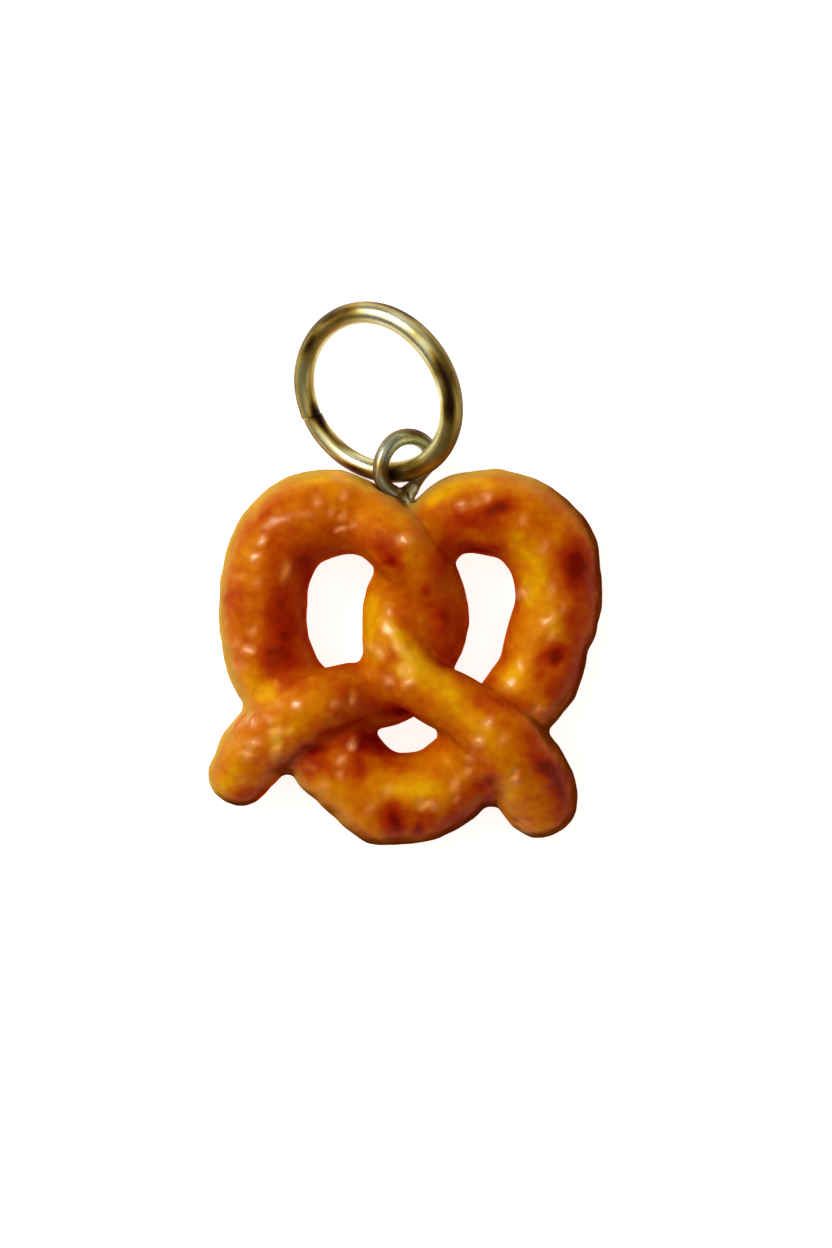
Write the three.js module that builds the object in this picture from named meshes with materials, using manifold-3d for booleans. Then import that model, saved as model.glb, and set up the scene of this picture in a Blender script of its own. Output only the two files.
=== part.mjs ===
// A miniature soft pretzel charm, in millimetres, +Z up.
// The charm lies on its flat back: a rolled rope of clay tied into a pretzel, a screw eye set in
// the notch at its top, and a jump ring through the eye, leaning with its low side down.
// +Y points from the pretzel's belly to its notch, and its face points to +Z.

import * as THREE from 'three';
import { mergeVertices } from 'three/addons/utils/BufferGeometryUtils.js';
import Module from 'manifold-3d';

const { degToRad, lerp } = THREE.MathUtils;

// ---- Driving dimensions ----

// The rope of clay. A station's settle is its centre's height as a share of its radius, so a rope
// that lies on the bench is pressed a little flat, and one with another strand on it more so.
const ROPE = { sides: 20, rowLength: 0.6, settle: 0.9, pressed: 0.82 };

// The low lumps of hand-rolled clay are two waves, in radians for each millimetre.
const LUMPS = { height: 0.05, broad: 2.4, fine: 3.3, fineShare: 0.7 };

// The rows that round off an end of the rope, in degrees up from its last full row.
const CAP_ANGLES = [22, 44, 64, 80];

// The two lobes: squarish ovals for the rope's centre line, and the rope's radius round them.
const LOBE_LEFT = {
  centre: [-3.57, -1.9],
  reach: [3.6, 4.95],
  corner: 2.28,
  radius: { shoulder: 1.86, crown: 2.4, side: 2.26, foot: 2.24 },
};
const LOBE_RIGHT = {
  centre: [4.0, -1.0],
  reach: [3.76, 4.1],
  corner: 2.22,
  radius: { shoulder: 2.02, crown: 2.26, side: 2.29, foot: 2.18 },
};

// Where the stations sit on a lobe, in degrees from the pretzel's middle over the crown.
const LOBE_STATIONS = [64, 90, 115, 140, 165, 190, 215];
const LOBE_ZONES = { shoulder: 64, crown: 100, side: 140, foot: 215 };
const OUTER_STATION = 4;

// How high a strand rises where it passes over another strand, and over the thicker belly.
const OVER_STRAND = 2.1;
const OVER_BELLY = 2.35;

// The screw eye: an oval loop that leans to one side and is turned about its shank, so that the
// ring can pass through it. The loop starts on the shank and ends just short of it.
const EYE = { centre: [0.08, 5.42, 2.44], turn: 24, long: 1.56, short: 1.29, lean: 41, wire: 0.41 };
const EYE_END = { from: -119, to: 213 };
const SHANK = { radius: 0.42, length: 3.7, point: 0.9 };
const EYE_STEPS = { points: 28, rows: 40, sides: 12, lathe: 16, dome: 4 };

// Room that the clay leaves round the eye.
const CLEARANCE = 0.05;

// The jump ring: one turn of wire, a little oval, sprung sideways at its cut and thinner there.
const RING = { centre: [-1.38, 9.08, 2.9], turn: -60.8, tilt: 33, radius: 4.18 };
const RING_SHAPE = { oval: 0.022, ovalAt: 20, pinch: 0.01, spring: 0.26 };
const RING_WIRE = { mean: 0.55, swell: 0.05, thickAt: 80 };
const RING_CUT = { at: 261, gap: 1.6 };
const RING_STEPS = { points: 48, rows: 60, sides: 12 };

// ---- Rods bent along a route ----

const UP = new THREE.Vector3(0, 0, 1);

// Lengths that a curve is measured in, from one of its stations to the next.
const ARC_STEPS = 32;

// Bends a straight rod of unit radius along rows, each of which holds the centre, the direction
// of travel and the radius there.
function bendRod(rows, sides, lumpAt = () => 0) {
  const last = rows.length - 1;
  const straight = new THREE.CylinderGeometry(1, 1, last, sides, last);
  straight.deleteAttribute('normal');
  straight.deleteAttribute('uv');
  const rod = mergeVertices(straight);
  const position = rod.attributes.position;
  const point = new THREE.Vector3();
  for (let i = 0; i < position.count; i += 1) {
    point.fromBufferAttribute(position, i);
    const { centre, travel, radius } = rows[Math.round(last / 2 - point.y)];
    const side = UP.clone().cross(travel).normalize();
    const lift = travel.clone().cross(side);
    const outward = side.multiplyScalar(point.x).addScaledVector(lift, point.z);
    const spot = centre.clone().addScaledVector(outward, radius);
    spot.addScaledVector(outward, lumpAt(spot));
    position.setXYZ(i, spot.x, spot.y, spot.z);
  }
  return rod;
}

// Rows at equal steps along a curve, with the radius that radiusAt gives for the curve's own t.
function rowsAlong(curve, count, radiusAt) {
  const lengths = Array.from({ length: count + 1 }, (_, i) => i / count);
  return lengths.map((share) => {
    const t = curve.getUtoTmapping(share);
    return { centre: curve.getPoint(t), travel: curve.getTangent(t), radius: radiusAt(t) };
  });
}

// Rows that close an end with a round cap: way is -1 at the start of the rod and 1 at its end.
function roundCap(row, way) {
  const angles = way > 0 ? CAP_ANGLES : CAP_ANGLES.toReversed();
  return angles.map((angle) => {
    const reach = row.radius * Math.sin(degToRad(angle));
    const centre = row.centre.clone().addScaledVector(row.travel, way * reach);
    return { centre, travel: row.travel, radius: row.radius * Math.cos(degToRad(angle)) };
  });
}

// ---- Solids that are joined and cut ----

const wasm = await Module();
wasm.setup();

function toSolid(geometry) {
  const vertProperties = new Float32Array(geometry.attributes.position.array);
  const triVerts = new Uint32Array(geometry.index.array);
  return new wasm.Manifold(new wasm.Mesh({ numProp: 3, vertProperties, triVerts }));
}

function toGeometry(solid) {
  const { vertProperties, triVerts } = solid.getMesh();
  const geometry = new THREE.BufferGeometry();
  geometry.setAttribute('position', new THREE.BufferAttribute(vertProperties, 3));
  geometry.setIndex(new THREE.BufferAttribute(triVerts, 1));
  geometry.computeVertexNormals();
  return geometry;
}

// ---- The pretzel ----

// One station of the rope's route: where it is, how thick the rope is, how far it is raised off
// the bench, and how much it settles under its own weight or under a strand on top of it.
function station(x, y, radius, raise = 0, settle = ROPE.settle) {
  return { centre: new THREE.Vector3(x, y, radius * settle + raise), radius };
}

// The rope's radius at an angle round a lobe, between the zones that the lobe names.
function lobeRadius(lobe, angle) {
  const zones = Object.keys(LOBE_ZONES);
  const next = Math.max(1, zones.findIndex((zone) => LOBE_ZONES[zone] >= angle));
  const [a, b] = [zones[next - 1], zones[next]];
  const share = (angle - LOBE_ZONES[a]) / (LOBE_ZONES[b] - LOBE_ZONES[a]);
  return lerp(lobe.radius[a], lobe.radius[b], share);
}

// A lobe's stations from shoulder to foot. hand is 1 for the left lobe and -1 for the right one,
// and raises holds the height of the first stations, which come down off the twist.
function lobeStations(lobe, hand, raises) {
  const squared = (value) => Math.sign(value) * Math.abs(value) ** (2 / lobe.corner);
  return LOBE_STATIONS.map((angle, i) => {
    const x = lobe.centre[0] + hand * lobe.reach[0] * squared(Math.cos(degToRad(angle)));
    const y = lobe.centre[1] + lobe.reach[1] * squared(Math.sin(degToRad(angle)));
    return station(x, y, lobeRadius(lobe, angle), raises[i] ?? 0);
  });
}

// The left arm starts at its tip, climbs over the belly and dives under the lower crossing.
const leftArm = [
  station(-8.32, -10.12, 1.67),
  station(-7.4, -8.75, 1.9, 0.45),
  station(-6.0, -7.65, 1.8, 0.72 * OVER_BELLY),
  station(-4.4, -6.6, 1.7, OVER_BELLY),
  station(-2.4, -6.15, 1.78, 0.5 * OVER_BELLY),
  station(-0.4, -5.8, 1.74, 0, ROPE.pressed),
];

// Its strand bulges right in the twist and passes over the upper crossing to the left lobe.
const firstStrand = [
  station(1.45, -2.7, 1.79, 0.25 * OVER_STRAND),
  station(1.3, -0.95, 1.75, 0.6 * OVER_STRAND),
  station(-0.2, 1.3, 1.75, OVER_STRAND),
];

// The belly joins the feet of the lobes, and both arms press on it.
const belly = [
  station(-4.95, -7.2, 2.25, 0, ROPE.pressed),
  station(-3.6, -9.05, 2.3),
  station(-1.55, -11.12, 2.34),
  station(0, -11.3, 2.34),
  station(1.7, -10.95, 2.25),
  station(3.6, -9.2, 2.06),
  station(5.3, -7.1, 2.1, 0, ROPE.pressed),
  station(6.85, -4.9, 2.2),
];

// The second strand dives under the upper crossing, bulges left and rises over the lower one.
const secondStrand = [
  station(0.9, 0.8, 1.65, 0, ROPE.pressed),
  station(-0.43, -1.75, 1.76, 0.4 * OVER_STRAND),
  station(0, -4.95, 1.62, OVER_STRAND),
];

// The right arm carries on over the belly and comes down to its tip.
const rightArm = [
  station(2.85, -6.8, 1.62, 0.97 * OVER_BELLY),
  station(5.05, -8.5, 1.96, 0.85 * OVER_BELLY),
  station(6.2, -10.05, 2.12, 0.3 * OVER_BELLY),
  station(6.8, -11.38, 2.02),
];

const leftLobe = lobeStations(LOBE_LEFT, 1, [0.45 * OVER_STRAND, 0.08 * OVER_STRAND]);
const rightLobe = lobeStations(LOBE_RIGHT, -1, [0.05 * OVER_STRAND]);
const outerSides = [leftLobe, rightLobe].map((lobe) => lobe[OUTER_STATION].centre);
const route = [
  ...leftArm,
  ...firstStrand,
  ...leftLobe,
  ...belly,
  ...rightLobe.toReversed(),
  ...secondStrand,
  ...rightArm,
];

// How far the clay stands proud at a spot, as a share of the rope's radius.
function lumpAt({ x, y, z }) {
  const broad = Math.sin(LUMPS.broad * (x + y / 4)) * Math.sin(LUMPS.broad * (y + z / 3));
  const fine = Math.sin(LUMPS.fine * (x - y / 2)) * Math.sin(LUMPS.fine * (y + z / 2));
  return LUMPS.height * (broad + LUMPS.fineShare * fine);
}

// The rope is bent in three lengths that share their end faces, because a length may not pass
// through itself before it is joined. They meet at the outer sides of the lobes.
function makePretzel() {
  const curve = new THREE.CatmullRomCurve3(route.map(({ centre }) => centre), false, 'centripetal');
  const radii = route.map(({ radius }) => new THREE.Vector3(radius, 0, 0));
  const radiusCurve = new THREE.CatmullRomCurve3(radii, false, 'catmullrom');
  curve.arcLengthDivisions = ARC_STEPS * route.length;
  const count = Math.round(curve.getLength() / ROPE.rowLength);
  const rows = rowsAlong(curve, count, (t) => radiusCurve.getPoint(t).x);
  const breaks = outerSides.map((spot) => {
    const distances = rows.map((row) => row.centre.distanceTo(spot));
    return distances.indexOf(Math.min(...distances));
  });
  const lengths = [
    [...roundCap(rows[0], -1), ...rows.slice(0, breaks[0] + 1)],
    rows.slice(breaks[0], breaks[1] + 1),
    [...rows.slice(breaks[1]), ...roundCap(rows[count], 1)],
  ];
  const solids = lengths.map((length) => {
    const rod = bendRod(length, ROPE.sides, lumpAt);
    const position = rod.attributes.position;
    for (let i = 0; i < position.count; i += 1) {
      position.setZ(i, Math.max(position.getZ(i), 0));
    }
    return toSolid(rod);
  });
  const rope = solids[0].add(solids[1]).add(solids[2]);
  const socket = toSolid(place(toGeometry(makeEye(CLEARANCE)), eyePlace));
  return toGeometry(withoutScraps(rope.subtract(socket)));
}

// The largest body of a solid: scraps of space sealed in where strands cross are filled.
function withoutScraps(solid) {
  const bodies = solid.decompose();
  return bodies.reduce((most, body) => (body.volume() > most.volume() ? body : most));
}

// A copy of a geometry where a group puts it.
function place(geometry, group) {
  group.updateMatrixWorld(true);
  return geometry.clone().applyMatrix4(group.matrixWorld);
}

// ---- The screw eye, with the loop's centre as its origin ----

// Room makes the whole eye that much thicker, for the hollow that it leaves in the clay.
function makeEye(room) {
  const lean = degToRad(EYE.lean);
  const far = EYE_END.to + THREE.MathUtils.radToDeg(room / EYE.short);
  const loopPoints = Array.from({ length: EYE_STEPS.points + 1 }, (_, i) => {
    const angle = degToRad(lerp(EYE_END.from, far, i / EYE_STEPS.points));
    const oval = new THREE.Vector3(EYE.long * Math.cos(angle), EYE.short * Math.sin(angle), 0);
    return oval.applyAxisAngle(UP, lean);
  });
  const loopCurve = new THREE.CatmullRomCurve3(loopPoints);
  const loopRows = rowsAlong(loopCurve, EYE_STEPS.rows, () => EYE.wire + room);
  const loop = bendRod(loopRows, EYE_STEPS.sides);
  const radius = SHANK.radius + room;
  const profile = [
    new THREE.Vector2(0, -SHANK.length - room),
    new THREE.Vector2(radius, SHANK.point - SHANK.length - room),
  ];
  for (let i = 0; i < EYE_STEPS.dome; i += 1) {
    const rise = degToRad(lerp(0, 90, i / EYE_STEPS.dome));
    profile.push(new THREE.Vector2(radius * Math.cos(rise), (EYE.wire + room) * Math.sin(rise)));
  }
  profile.push(new THREE.Vector2(0, EYE.wire + room));
  const shank = new THREE.LatheGeometry(profile, EYE_STEPS.lathe);
  shank.deleteAttribute('normal');
  shank.deleteAttribute('uv');
  shank.translate(loopPoints[0].x, loopPoints[0].y, 0);
  return toSolid(loop).add(toSolid(withoutSlivers(mergeVertices(shank))));
}

// A lathe leaves triangles with two corners on the axis: they are dropped.
function withoutSlivers(geometry) {
  const { array } = geometry.index;
  const kept = [];
  for (let i = 0; i < array.length; i += 3) {
    const [a, b, c] = array.slice(i, i + 3);
    if (a !== b && b !== c && c !== a) kept.push(a, b, c);
  }
  geometry.setIndex(kept);
  return geometry;
}

// ---- The jump ring, flat in its own plane ----

function makeRing() {
  const start = RING_CUT.at + RING_CUT.gap / 2;
  const end = RING_CUT.at + 360 - RING_CUT.gap / 2;
  const angleAt = (share) => degToRad(lerp(start, end, share));
  const points = Array.from({ length: RING_STEPS.points + 1 }, (_, i) => {
    const angle = angleAt(i / RING_STEPS.points);
    const oval = RING_SHAPE.oval * Math.cos(2 * (angle - degToRad(RING_SHAPE.ovalAt)));
    const pinch = RING_SHAPE.pinch * Math.sin(3 * angle);
    const radius = RING.radius * (1 + oval + pinch);
    const aside = RING_SHAPE.spring * (i / RING_STEPS.points - 0.5);
    return new THREE.Vector3(radius * Math.cos(angle), radius * Math.sin(angle), aside);
  });
  const thickAt = degToRad(RING_WIRE.thickAt);
  const wireAt = (t) => RING_WIRE.mean + RING_WIRE.swell * Math.cos(angleAt(t) - thickAt);
  const rows = rowsAlong(new THREE.CatmullRomCurve3(points), RING_STEPS.rows, wireAt);
  return bendRod(rows, RING_STEPS.sides);
}

// ---- The charm ----

function finish(color, roughness, metalness) {
  return new THREE.MeshStandardMaterial({ color, roughness, metalness });
}

function named(name, geometry, material) {
  const mesh = new THREE.Mesh(geometry, material);
  mesh.name = name;
  return mesh;
}

const charm = new THREE.Group();

const eyePlace = new THREE.Group();
eyePlace.position.set(...EYE.centre);
eyePlace.rotation.y = degToRad(EYE.turn);
eyePlace.add(named('eye_pin', toGeometry(makeEye(0)), finish(0x9a967c, 0.3, 1)));
charm.add(eyePlace);

charm.add(named('pretzel', makePretzel(), finish(0xd8860f, 0.35, 0)));

const ringPlace = new THREE.Group();
ringPlace.position.set(...RING.centre);
ringPlace.rotation.z = degToRad(RING.turn);
const ringLean = new THREE.Group();
ringLean.rotation.x = degToRad(RING.tilt);
ringLean.add(named('jump_ring', makeRing(), finish(0xb6964c, 0.25, 1)));
ringPlace.add(ringLean);
charm.add(ringPlace);

export default charm;
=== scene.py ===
# %% [markdown]
# # A pretzel charm
# The real thing is a keepsake the size of a thumbnail: a pretzel of golden polymer clay, browned
# with a dry brush and varnished, a screw eye in its notch and a brass jump ring through the eye.
# The CAD frame already holds each piece at its true size. This lesson gives each one its surface:
# a copy of the CAD solid is refined, and a procedural material is painted onto it.

# %% Load the frame
import math

import bmesh
import bpy
import numpy as np
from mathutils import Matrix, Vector, noise
from mathutils.bvhtree import BVHTree


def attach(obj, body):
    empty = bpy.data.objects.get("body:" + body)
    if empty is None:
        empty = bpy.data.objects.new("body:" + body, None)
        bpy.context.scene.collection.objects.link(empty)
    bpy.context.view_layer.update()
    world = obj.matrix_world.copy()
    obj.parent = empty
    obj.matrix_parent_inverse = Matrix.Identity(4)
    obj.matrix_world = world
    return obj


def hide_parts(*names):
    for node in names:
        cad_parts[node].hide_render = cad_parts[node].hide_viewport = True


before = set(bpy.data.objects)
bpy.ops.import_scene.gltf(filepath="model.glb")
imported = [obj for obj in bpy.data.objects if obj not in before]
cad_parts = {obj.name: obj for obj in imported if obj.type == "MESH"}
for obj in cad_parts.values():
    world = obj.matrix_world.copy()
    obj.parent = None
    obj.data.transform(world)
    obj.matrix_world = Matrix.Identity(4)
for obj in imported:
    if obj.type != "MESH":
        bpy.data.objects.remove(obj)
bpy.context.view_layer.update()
scene = bpy.context.scene
MM = 0.001

# %% [markdown]
# ## Camera and light
# The charm lies on its back on a pale table and the camera looks straight down on it from half a
# metre, through a long lens. The light comes from a window to the upper left: a small bright panel
# gives the varnish its glints and a wide one beside it the soft shading. Two dimmer panels stand
# for the walls and one for the ceiling. A bright sky all round would be simpler, but brass only
# looks like brass with something dark to reflect, so the room around the panels stays dark.

# %% Camera
# The render's size in pixels, and how much of the charm one pixel covers.
PICTURE = (832, 1248)
PIXEL = 0.0505 * MM
CAMERA_HEIGHT = 500 * MM
VIEW_CENTRE = Vector((0.556, -2.55, 2.0)) * MM
SENSOR = 36.0
NEAREST = 10 * MM
FARTHEST = 10.0

lens = bpy.data.cameras.new("camera")
lens.sensor_width = SENSOR
lens.lens = SENSOR * CAMERA_HEIGHT / (PICTURE[1] * PIXEL)
lens.clip_start = NEAREST
lens.clip_end = FARTHEST
camera = bpy.data.objects.new("camera", lens)
camera.location = VIEW_CENTRE + Vector((0, 0, CAMERA_HEIGHT))
scene.collection.objects.link(camera)
scene.camera = camera
print("lens, mm:", round(lens.lens, 1))

# %% Lights
LAMPS = {
    # name: (place in mm, side in mm, watts, colour)
    "key": ((-185, 130, 240), 80, 0.5, (1.0, 0.97, 0.92)),
    "window": ((-260, 50, 200), 260, 0.24, (1.0, 0.98, 0.94)),
    "wall": ((30, 300, 160), 260, 0.12, (1.0, 0.98, 0.95)),
    "room": ((280, -170, 190), 280, 0.17, (1.0, 0.97, 0.93)),
    "ceiling": ((0, 30, 620), 600, 0.95, (1.0, 0.98, 0.95)),
}
ROOM_COLOUR = (1.0, 0.99, 0.97, 1.0)
ROOM_GLOW = 0.06


def lamp(name, place, side, power, colour):
    """A square area light that faces the charm."""
    light = bpy.data.lights.new(name, "AREA")
    light.size = side * MM
    light.energy = power
    light.color = colour
    panel = bpy.data.objects.new(name, light)
    panel.location = Vector(place) * MM
    panel.rotation_euler = (VIEW_CENTRE - Vector(place) * MM).to_track_quat("-Z", "Y").to_euler()
    scene.collection.objects.link(panel)


for name, (place, side, power, colour) in LAMPS.items():
    lamp(name, place, side, power, colour)
world = bpy.data.worlds.new("room")
world.use_nodes = True
world.node_tree.nodes["Background"].inputs["Color"].default_value = ROOM_COLOUR
world.node_tree.nodes["Background"].inputs["Strength"].default_value = ROOM_GLOW
scene.world = world
scene.view_settings.view_transform = "Standard"
print("lamps:", len(LAMPS))

# %% [markdown]
# ## Meshes from the frame
# A CAD node arrives as loose triangles. Its copy is welded, so that the faces share their points,
# and only then can an operator smooth or bevel it. Subdivision could smooth the clay too, but it
# would keep the sharp joins between the strands. A voxel remesh gives one even skin across them,
# and it is fine enough to carry the relief of the clay as real geometry.

# %% Copies of CAD nodes
WELD = 0.0005 * MM


def welded_copy(node):
    """A bmesh of a CAD node with its doubled points merged."""
    shape = bmesh.new()
    shape.from_mesh(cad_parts[node].data)
    bmesh.ops.remove_doubles(shape, verts=shape.verts, dist=WELD)
    return shape


rope = welded_copy("pretzel")
print("pretzel points:", len(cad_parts["pretzel"].data.vertices), "welded:", len(rope.verts))


# %% A new skin
CLAY_VOXEL = 0.114


def to_piece(shape, name):
    """A smooth-shaded object from a bmesh, which is freed."""
    mesh = bpy.data.meshes.new(name)
    shape.to_mesh(mesh)
    shape.free()
    mesh.shade_smooth()
    piece = bpy.data.objects.new(name, mesh)
    scene.collection.objects.link(piece)
    return piece


def remeshed(shape, voxel):
    """The same closed shape with an even skin of quads about one voxel wide."""
    rough = to_piece(shape, "rough")
    remesh = rough.modifiers.new("voxels", "REMESH")
    remesh.mode = "VOXEL"
    remesh.voxel_size = voxel * MM
    even = bmesh.new()
    even.from_object(rough, bpy.context.evaluated_depsgraph_get())
    mesh = rough.data
    bpy.data.objects.remove(rough)
    bpy.data.meshes.remove(mesh)
    return even


clay = remeshed(rope, CLAY_VOXEL)
print("clay points:", len(clay.verts))

# %% Smooth away the facets
CLAY_ROUNDS = 9


def relax(shape, verts, rounds):
    """Smooths away facets: each round moves the points half way to their neighbours."""
    axes = {"use_axis_x": True, "use_axis_y": True, "use_axis_z": True}
    for _ in range(rounds):
        bmesh.ops.smooth_vert(shape, verts=verts, factor=0.5, **axes)


relax(clay, clay.verts, CLAY_ROUNDS)
strands = BVHTree.FromBMesh(clay)
top = max(vert.co.z for vert in clay.verts)
print("height with the creases still open, mm:", round(top / MM, 2))


# %% Points as arrays
def points_of(shape):
    """The shape's points and normals as two arrays, in metres."""
    shape.normal_update()
    points = np.array([v.co for v in shape.verts])
    return points, np.array([v.normal for v in shape.verts])


def move_points(shape, points):
    """Puts the shape's points where the array says."""
    for vert, point in zip(shape.verts, points):
        vert.co = point


def smooth_step(values, low, high):
    """0 below low, 1 above high and a smooth step between them."""
    share = np.clip((values - low) / (high - low), 0, 1)
    return share * share * (3 - 2 * share)


print("a smooth step at a quarter of its way:", smooth_step(0.25, 0, 1))

# %% [markdown]
# ## The clay rope
# Two ropes of soft clay pressed together run into each other, so the real pretzel has no sharp
# creases. Swelling the CAD ropes, giving them a new skin and shrinking them back fills every
# crease, but it would also web over the corners of the holes. So the result is blended with the
# unfilled skin: a little of the fill everywhere on top, all of it in a few ovals where strands
# have melted together, and none along an outline or where one strand stands high above another.
# A few nudges, each a tenth of a millimetre or two, then stand for the fingers that shaped it.

# %% Ovals laid on the clay
def oval(points, x, y, length, width, turn, edge=1.0):
    """1 at the middle of an oval and 0 well outside it, seen from above, in millimetres."""
    angle = math.radians(turn)
    east, north = points[:, 0] - x * MM, points[:, 1] - y * MM
    along = (east * math.cos(angle) + north * math.sin(angle)) / (length * MM)
    across = (north * math.cos(angle) - east * math.sin(angle)) / (width * MM)
    return np.exp(-(along**2 + across**2) ** edge)


print("an oval at its rim:", round(oval(np.array([(MM, 0, 0)]), 0, 0, 1, 1, 0)[0], 2))

# %% Fill the creases
CREASE_REACH = 0.6
FIRM_EDGE = 2.0
NARROW_END = (-1.3, -8.1, 1.3, 0.9, 0)


def shift_along_normals(shape, distance, left_alone):
    """Swells the shape by a distance in mm, or shrinks it, but not in the ovals left alone."""
    points, outward = points_of(shape)
    share = np.ones(len(points)) - sum(oval(points, *place, FIRM_EDGE) for place in left_alone)
    move_points(shape, points + outward * share[:, None] * distance * MM)


def closed(shape, voxel, rounds, reach, left_alone=()):
    """The shape with its creases filled: swollen, given a new skin, and shrunk back."""
    shift_along_normals(shape, reach, left_alone)
    shape = remeshed(shape, voxel)
    relax(shape, shape.verts, rounds)
    shift_along_normals(shape, -reach, left_alone)
    return shape


clay = closed(clay, CLAY_VOXEL, CLAY_ROUNDS, CREASE_REACH, [NARROW_END])
filled, outward = points_of(clay)
unfilled = np.array([strands.find_nearest(point)[0] for point in filled])
print("widest fill, mm:", round(np.abs(filled - unfilled).max() / MM, 2))

# %% Keep the fill where the strands melt together
CREASE_SHARE = 0.25
SKY = 100 * MM
DOWN = Vector((0, 0, -1))
# Where a mask starts and where it is full, by the upward part of the normal and by the lift.
FILL_SLOPE = (0.1, 0.5)
SHALLOW = (0.8 * MM, 1.4 * MM)
MELTED = [
    # x, y, half length and half width in mm, turn in degrees, share: where strands run together,
    # and with a share below 0 where the crease between them stays open
    (1.5, 1.8, 2.0, 1.1, -50, 1),
    (-0.1, -1.3, 2.2, 1.0, -60, 1),
    (5.4, -6.6, 2.4, 0.9, -25, 1),
    (1.0, 3.0, 0.9, 0.8, -50, 1),
    (-0.9, -5.2, 1.0, 0.8, -60, 1),
    (-6.4, -6.0, 1.6, 0.9, 20, 1),
    (2.9, -9.0, 1.7, 0.7, -50, 1),
    (-1.4, -8.1, 1.2, 0.8, 0, -0.5),
]


def melting_at(points):
    """How far the strands have run together at each point, from 0 to 1."""
    return sum(share * oval(points, *place, FIRM_EDGE) for *place, share in MELTED)


def lift_over(tree, points):
    """How far each point is above the topmost surface there, and a metre where there is none."""
    hits = [tree.ray_cast(Vector((x, y, SKY)), DOWN)[0] for x, y, _ in points]
    return np.array([p[2] - hit.z if hit else 1 for p, hit in zip(points, hits)])


on_top = smooth_step(outward[:, 2], *FILL_SLOPE)
shallow = 1 - smooth_step(lift_over(strands, filled), *SHALLOW)
share = np.clip(CREASE_SHARE + melting_at(filled), 0, 1) * on_top * shallow
move_points(clay, unfilled + (filled - unfilled) * share[:, None])
clay = remeshed(clay, CLAY_VOXEL)
relax(clay, clay.verts, CLAY_ROUNDS)
print("share of the fill kept:", round(float(share.mean()), 2))

# %% Nudges
NUDGES = [
    # x, y, reach and the way in mm: where fingers pushed the outline in or drew it out
    (-3.3, -12.1, 0.9, 0.13, 0.11),
    (-1.6, -13.3, 1.0, -0.05, -0.17),
    (0.2, -13.5, 1.2, 0.0, -0.07),
    (9.3, 2.1, 1.4, 0.16, 0.1),
    (-5.3, -10.7, 0.7, -0.1, -0.13),
    (-8.6, 2.8, 1.6, -0.06, 0.05),
    (7.7, -8.2, 0.7, -0.13, 0.0),
    (-2.3, -4.3, 0.5, 0.0, -0.15),
    (2.6, 0.9, 0.5, -0.06, 0.12),
]


def nudged(points):
    """The points moved sideways by every nudge that reaches them."""
    moved = points.copy()
    for x, y, reach, east, north in NUDGES:
        moved[:, :2] += oval(points, x, y, reach, reach, 0)[:, None] * np.array((east, north)) * MM
    return moved


skin, _ = points_of(clay)
move_points(clay, nudged(skin))
skin, outward = points_of(clay)
melt = np.clip(melting_at(skin), 0, 1)
print("clay points:", len(skin), "nudges:", len(NUDGES))

# %% Creases
CREASE_ROUNDS = 30
MELT_ROUNDS = 150
SOFT_FROM = 0.02
# Where a mask starts and where it is full, by the lift in mm and by the slope.
MELT_LIFT = (0, 0.05)
MELT_SLOPE = (0.3, 0.7)


def lift_from(verts, rounds):
    """Smooths some of the clay's points and tells how far that lifts each, in mm."""
    relax(clay, verts, rounds)
    smoother, _ = points_of(clay)
    return smoother, ((smoother - skin) * outward).sum(axis=1) / MM


_, hollow = lift_from(clay.verts, CREASE_ROUNDS)
move_points(clay, skin)
soft = [vert for vert, share in zip(clay.verts, melt) if share > SOFT_FROM]
melted, lift = lift_from(soft, MELT_ROUNDS)
melting = melt * smooth_step(lift, *MELT_LIFT) * smooth_step(outward[:, 2], *MELT_SLOPE)
skin = skin + (melted - skin) * melting[:, None]
move_points(clay, skin)
_, outward = points_of(clay)
print("deepest crease, mm:", round(hollow.max(), 2), "and fill:", round(lift.max(), 2))
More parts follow.
